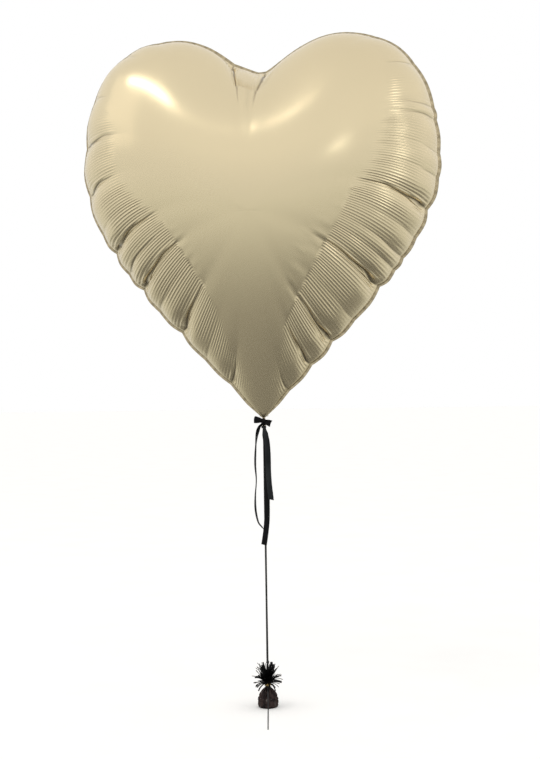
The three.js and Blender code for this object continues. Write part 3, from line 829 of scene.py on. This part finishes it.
def gatheredNeck():
    # the film bunched where it is tied, flaring into the heart's tip
    low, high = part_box("neck_gather")
    radius = (high.x - low.x) / 2
    profile = [(0, low.z), (radius * 0.55, low.z + 0.0003), (radius * 0.85, low.z + 0.0012),
               (radius * 0.92, low.z + 0.0028), (radius * 1.02, low.z + 0.0045),
               (radius * 1.15, low.z + gather["rise"]), (radius * 0.9, low.z + gather["rise"] + 0.0008),
               (0, low.z + gather["rise"] + 0.0011)]
    bm = spunMesh(profile, 90)
    for vert in bm.verts:
        angle = math.atan2(vert.co.y, vert.co.x)
        rise = (vert.co.z - low.z) / gather["rise"]
        fold = math.cos(gather["pleats"] * angle + 1.5 * math.sin(2 * angle))
        grow = 1 + gather["depth"] * fold * min(1, 2 * rise)
        vert.co.x *= grow
        vert.co.y *= grow * (1 - 0.25 * min(1, rise))
    piece = newPiece("gathered_neck", bm, filmMaterial)
    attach(piece, "neck")
    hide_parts("neck_gather")


gatheredNeck()
print("ribbons and bow made")


fillTail = {"crinkle": 0.0007}


def fillingTail():
    # two films sealed along their long sides, lying up behind the tip
    low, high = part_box("filling_tail")
    run = Vector((0, high.y - low.y - 0.0012, high.z - low.z - 0.0012))
    back = Vector((0, run.z, -run.y)).normalized()
    foot = Vector((0, low.y + 0.0006, low.z + 0.0006))
    width = high.x - low.x
    bm = bmesh.new()
    bmesh.ops.create_grid(bm, x_segments=30, y_segments=44, size=1)
    for vert in bm.verts:
        side, t = vert.co.x, (vert.co.y + 1) / 2
        spread = 0.22 + 0.78 * float(smoothStep(0.02, 0.45, t))
        place = foot + run * t + Vector((side * spread * width / 2, 0, 0))
        ripple = fillTail["crinkle"] * noise.noise(place * 90) * (0.4 + 0.6 * t)
        ripple += 0.00025 * math.sin(24 * t + 3 * side) * (1 - side * side)
        vert.co = place + back * ripple
    bmesh.ops.solidify(bm, geom=bm.faces, thickness=0.0005)
    bmesh.ops.recalc_face_normals(bm, faces=bm.faces)
    piece = newPiece("filling_sleeve", bm, filmMaterial)
    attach(piece, "heart")
    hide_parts("filling_tail")


fillingTail()


wrap = {"pleats": 14, "pleatDepth": 0.085, "crinkle": 0.0013}


def weightWrap():
    low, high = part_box("weight_wrap")
    radius = (high.x - low.x) / 2 / 1.05
    profile = [
        (0, 0.0), (0.60 * radius, 0.0), (0.88 * radius, 0.0002), (0.955 * radius, 0.0012),
        (0.99 * radius, 0.0034), (1.0 * radius, 0.007), (0.995 * radius, 0.011), (0.97 * radius, 0.016),
        (0.93 * radius, 0.0205), (0.875 * radius, 0.025), (0.80 * radius, 0.0295), (0.695 * radius, 0.0335),
        (0.57 * radius, 0.037), (0.43 * radius, 0.040), (0.31 * radius, 0.0425), (0.245 * radius, 0.0450),
        (0.232 * radius, 0.048), (0.232 * radius, 0.0535), (0.245 * radius, high.z),
    ]
    bm = spunMesh(profile, 196)
    rising = [e for e in bm.edges if abs(e.verts[0].co.z - e.verts[1].co.z) > 1e-4]
    bmesh.ops.subdivide_edges(bm, edges=rising, cuts=2)
    for vert in bm.verts:
        x, y, z = vert.co
        spin = math.atan2(y, x)
        rise = min(1, max(0, (z - 0.001) / 0.016))
        neck = min(1, max(0, (z - 0.034) / 0.01))
        lean = wrap["pleats"] * (spin + 0.12 * math.sin(3 * spin) + 6 * z * math.sin(2 * spin + 1))
        fold = 1 - 2 * abs(math.sin(lean / 2))**0.7
        crush = noise.noise(Vector((x, y, z)) * 150) + 0.6 * noise.noise(Vector((x, y, z)) * 330)
        grow = 1 + wrap["pleatDepth"] * fold * rise * (1 - 0.45 * neck)
        grow += wrap["crinkle"] / radius * crush * min(1, z / 0.003) * (1 - 0.7 * neck)
        vert.co.x = x * grow
        vert.co.y = y * grow
        vert.co.z = z + 0.0008 * noise.noise(Vector((x, y, 0.3)) * 120) * min(1, z / 0.01) * (1 - neck)
    piece = newPiece("foil_wrap", bm, wrapFoil)
    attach(piece, "weight")
    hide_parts("weight_wrap")


weightWrap()


def goldTie():
    low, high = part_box("gold_tie")
    outer = (high.x - low.x) / 2
    inner = 0.0056
    height = high.z - low.z
    profile = [(inner, low.z), (outer * 0.92, low.z)]
    for k in range(11):
        t = k / 10
        profile.append((outer * (0.95 + 0.06 * math.sin(math.pi * 3 * t)), low.z + height * t))
    profile += [(outer * 0.9, high.z), (inner, high.z), (inner, low.z)]
    bm = spunMesh(profile, 96)
    for vert in bm.verts:
        angle = math.atan2(vert.co.y, vert.co.x)
        grow = 1 + 0.05 * noise.noise(vert.co * 700) + 0.02 * math.sin(13 * angle)
        vert.co.x *= grow
        vert.co.y *= grow
        vert.co.z += 0.0005 * math.sin(angle + 0.7)
    piece = newPiece("gold_twist", bm, goldMaterial)
    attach(piece, "weight")
    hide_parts("gold_tie")


goldTie()


fringeLayers = {
    "fringe_lower": {
        "hub": 0.0521, "strips": 30, "rise": (-0.25, 0.35),
        "reach": (0.017, 0.027), "bend": (0.2, 1.0),
    },
    "fringe_middle": {
        "hub": 0.0543, "strips": 34, "rise": (0.30, 1.05),
        "reach": (0.020, 0.031), "bend": (-0.4, 1.2),
    },
    "fringe_upper": {
        "hub": 0.0565, "strips": 44, "rise": (1.10, 1.56),
        "reach": (0.028, 0.041), "bend": (-0.25, 0.75),
    },
}


def fringeStrip(bm, angle, foot, rise, reach, bend, width, twist):
    # one cut strip: leaves the neck, bends over and twists a little
    before = set(bm.verts)
    bmesh.ops.create_grid(bm, x_segments=2, y_segments=12, size=1)
    strip = [v for v in bm.verts if v not in before]
    out = Vector((math.cos(angle), math.sin(angle), 0))
    cross = Vector((-math.sin(angle), math.cos(angle), 0))
    path = [Vector(foot)]
    for k in range(12):
        slope = rise - bend * ((k + 0.5) / 12)**1.6
        path.append(path[-1] + (out * math.cos(slope) + Vector((0, 0, math.sin(slope)))) * reach / 12)
    for vert in strip:
        side, t = vert.co.x, (vert.co.y + 1) / 2
        step = min(11, int(t * 12))
        centre = path[step].lerp(path[step + 1], t * 12 - step)
        slope = rise - bend * t**1.6
        normal = out * -math.sin(slope) + Vector((0, 0, math.cos(slope)))
        roll = twist * t
        wide = cross * math.cos(roll) + normal * math.sin(roll)
        cup = normal * (0.16 * width * (1 - side * side))
        vert.co = centre + wide * (side * width / 2 * (1 - 0.25 * t)) + cup


def fringeLayer(node, look, seed):
    draw = random.Random(seed)
    hubLow = look["hub"]
    bm = bmesh.new()
    for k in range(look["strips"]):
        angle = 2 * math.pi * (k + 0.7 * draw.random()) / look["strips"]
        radius = 0.0068 + 0.0016 * draw.random()
        foot = (radius * math.cos(angle), radius * math.sin(angle), hubLow + 0.001 * draw.random())
        fringeStrip(bm, angle + draw.uniform(-0.35, 0.35), foot, draw.uniform(*look["rise"]),
                    draw.uniform(*look["reach"]), draw.uniform(*look["bend"]),
                    draw.uniform(0.0032, 0.0046), draw.uniform(-1.2, 1.2))
    bmesh.ops.solidify(bm, geom=bm.faces, thickness=0.00018)
    bmesh.ops.recalc_face_normals(bm, faces=bm.faces)
    hub = spunMesh([(0.0058, hubLow - 0.0002), (0.0088, hubLow), (0.0090, hubLow + 0.0012),
                    (0.0058, hubLow + 0.0016), (0.0058, hubLow - 0.0002)], 40)
    spare = bpy.data.meshes.new("hub")
    hub.to_mesh(spare)
    hub.free()
    bm.from_mesh(spare)
    bpy.data.meshes.remove(spare)
    piece = newPiece(node + "_strips", bm, fringeFoil)
    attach(piece, "weight")
    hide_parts(node)


for seed, (node, look) in enumerate(fringeLayers.items()):
    fringeLayer(node, look, seed + 3)


knot = {"share": 0.85, "overlap": 0.0012}


def ribbonKnot():
    # an overhand knot pulled tight: a ball of ribbon with the turns showing
    low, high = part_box("anchor_knot")
    centre = (low + high) / 2
    half = (high - low) / 2 * knot["share"]
    half.z = (tetherLow - rootHigh) / 2 + knot["overlap"]
    bm = bmesh.new()
    bmesh.ops.create_icosphere(bm, subdivisions=5, radius=1)
    for vert in bm.verts:
        x, y, z = vert.co
        angle = math.atan2(y, x)
        turns = abs(math.sin(1.5 * angle + 2.6 * z))**0.6
        neck = 1 - 0.55 * max(0, abs(z) - 0.45)
        grow = neck * (0.80 + 0.26 * turns)
        vert.co = centre + Vector((x * half.x * grow, y * half.y * grow, z * half.z))
    bmesh.ops.smooth_vert(bm, verts=bm.verts, factor=0.5, use_axis_x=True, use_axis_y=True, use_axis_z=True)
    piece = newPiece("ribbon_knot", bm, curlingMaterial)
    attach(piece, "anchor")
    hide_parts("anchor_knot")


ribbonKnot()


def finishNode(node, material):
    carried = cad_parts[node]
    mesh = carried.data
    mesh.materials.clear()
    mesh.materials.append(material)


finishNode("neck_rope", filmMaterial)
finishNode("weight_core", ironMaterial)
finishNode("valve_film", clearMaterial)
print("weight made")


def areaLight(name, place, aim, size, energy, colour):
    data = bpy.data.lights.new(name, "AREA")
    data.shape = "RECTANGLE"
    data.size, data.size_y = size
    data.energy = energy
    data.color = colour
    light = bpy.data.objects.new(name, data)
    light.location = place
    light.rotation_euler = (Vector(aim) - Vector(place)).to_track_quat("-Z", "Y").to_euler()
    bpy.context.scene.collection.objects.link(light)


studio = {
    "keyPlace": (-1.43, -1.26, 3.30), "keySize": (2.0, 0.34), "keyPower": 7.6,
    "washPlace": (-2.9, -0.8, 2.8), "washSize": (2.4, 2.0), "washPower": 3.0,
    "frontPlace": (1.30, -3.3, 1.85), "frontSize": (0.45, 0.08), "frontPower": 0.6,
    "rightPlace": (3.1, -1.2, 1.7), "rightSize": (0.5, 1.6), "rightPower": 3.0,
    "backdrop": 1.0,
    "skyLight": 1.12,          # what matt surfaces get from all round
}

for name, aim, colour in (
        ("key", (-0.1, 0, 1.2), (1, 0.96, 0.90)), ("wash", (-0.1, 0, 1.2), (1, 0.93, 0.84)),
        ("front", (0.1, 0, 1.1), (1, 1, 0.97)), ("right", (0, 0, 1.1), (1, 1, 0.97))):
    place, size, power = (studio[name + part] for part in ("Place", "Size", "Power"))
    areaLight(name + "Light", place, aim, size, power, colour)


def studioWorld():
    # a white room for the eye and for matt surfaces; gloss sees its softer, darker lower half
    world = bpy.data.worlds.new("studio")
    bpy.context.scene.world = world
    world.use_nodes = True
    tree = world.node_tree
    tree.nodes.clear()
    where = addNode(tree, "ShaderNodeTexCoord")
    split = addNode(tree, "ShaderNodeSeparateXYZ")
    tree.links.new(where.outputs["Generated"], split.inputs["Vector"])
    rise = addNode(tree, "ShaderNodeMapRange")
    rise.inputs["From Min"].default_value = -1.0
    rise.inputs["From Max"].default_value = 1.0
    tree.links.new(split.outputs["Z"], rise.inputs["Value"])
    room = ramp(tree, rise.outputs["Result"], [
        (0.0, (0.13, 0.13, 0.12)), (0.10, (0.17, 0.17, 0.16)), (0.16, (0.26, 0.26, 0.24)),
        (0.22, (0.42, 0.43, 0.40)), (0.31, (0.62, 0.63, 0.60)), (0.40, (0.72, 0.73, 0.70)),
        (0.50, (0.77, 0.77, 0.76)), (0.70, (0.88, 0.87, 0.85)), (1.0, (0.82, 0.81, 0.80)),
    ])
    gloss = addNode(tree, "ShaderNodeBackground", Strength=1.0)
    tree.links.new(room.outputs["Color"], gloss.inputs["Color"])
    white = addNode(tree, "ShaderNodeBackground", Color=(1, 1, 1, 1), Strength=studio["backdrop"])
    sky = addNode(tree, "ShaderNodeBackground", Color=(1, 0.99, 0.97, 1), Strength=studio["skyLight"])
    ray = addNode(tree, "ShaderNodeLightPath")
    matt = addNode(tree, "ShaderNodeMixShader")
    seen = addNode(tree, "ShaderNodeMixShader")
    output = addNode(tree, "ShaderNodeOutputWorld")
    tree.links.new(ray.outputs["Is Diffuse Ray"], matt.inputs["Fac"])
    tree.links.new(gloss.outputs[0], matt.inputs[1])
    tree.links.new(sky.outputs[0], matt.inputs[2])
    tree.links.new(ray.outputs["Is Camera Ray"], seen.inputs["Fac"])
    tree.links.new(matt.outputs[0], seen.inputs[1])
    tree.links.new(white.outputs[0], seen.inputs[2])
    tree.links.new(seen.outputs[0], output.inputs["Surface"])


studioWorld()


def floorPaper():
    # white paper; gloss sees the lower half of the room through it
    material, tree, shader = nodesOf("floorPaper")
    shader.inputs["Roughness"].default_value = 0.95
    shader.inputs["Specular IOR Level"].default_value = 0.0
    fibre = objectNoise(tree, 6.0, 3.0)
    pale = ramp(tree, fibre.outputs["Fac"], [(0.3, (0.93, 0.93, 0.93)), (0.7, (0.95, 0.95, 0.95))])
    tree.links.new(pale.outputs["Color"], shader.inputs["Base Color"])
    ray = addNode(tree, "ShaderNodeLightPath")
    through = addNode(tree, "ShaderNodeBsdfTransparent")
    mix = addNode(tree, "ShaderNodeMixShader")
    tree.links.new(ray.outputs["Is Glossy Ray"], mix.inputs["Fac"])
    tree.links.new(shader.outputs["BSDF"], mix.inputs[1])
    tree.links.new(through.outputs["BSDF"], mix.inputs[2])
    tree.links.new(mix.outputs[0], tree.nodes["Material Output"].inputs["Surface"])
    return material


def studioFloor():
    bm = bmesh.new()
    bmesh.ops.create_grid(bm, x_segments=8, y_segments=8, size=30)
    floor = newPiece("floor", bm, floorPaper())


studioFloor()
bpy.context.scene.view_settings.view_transform = "Standard"
print("studio ready")
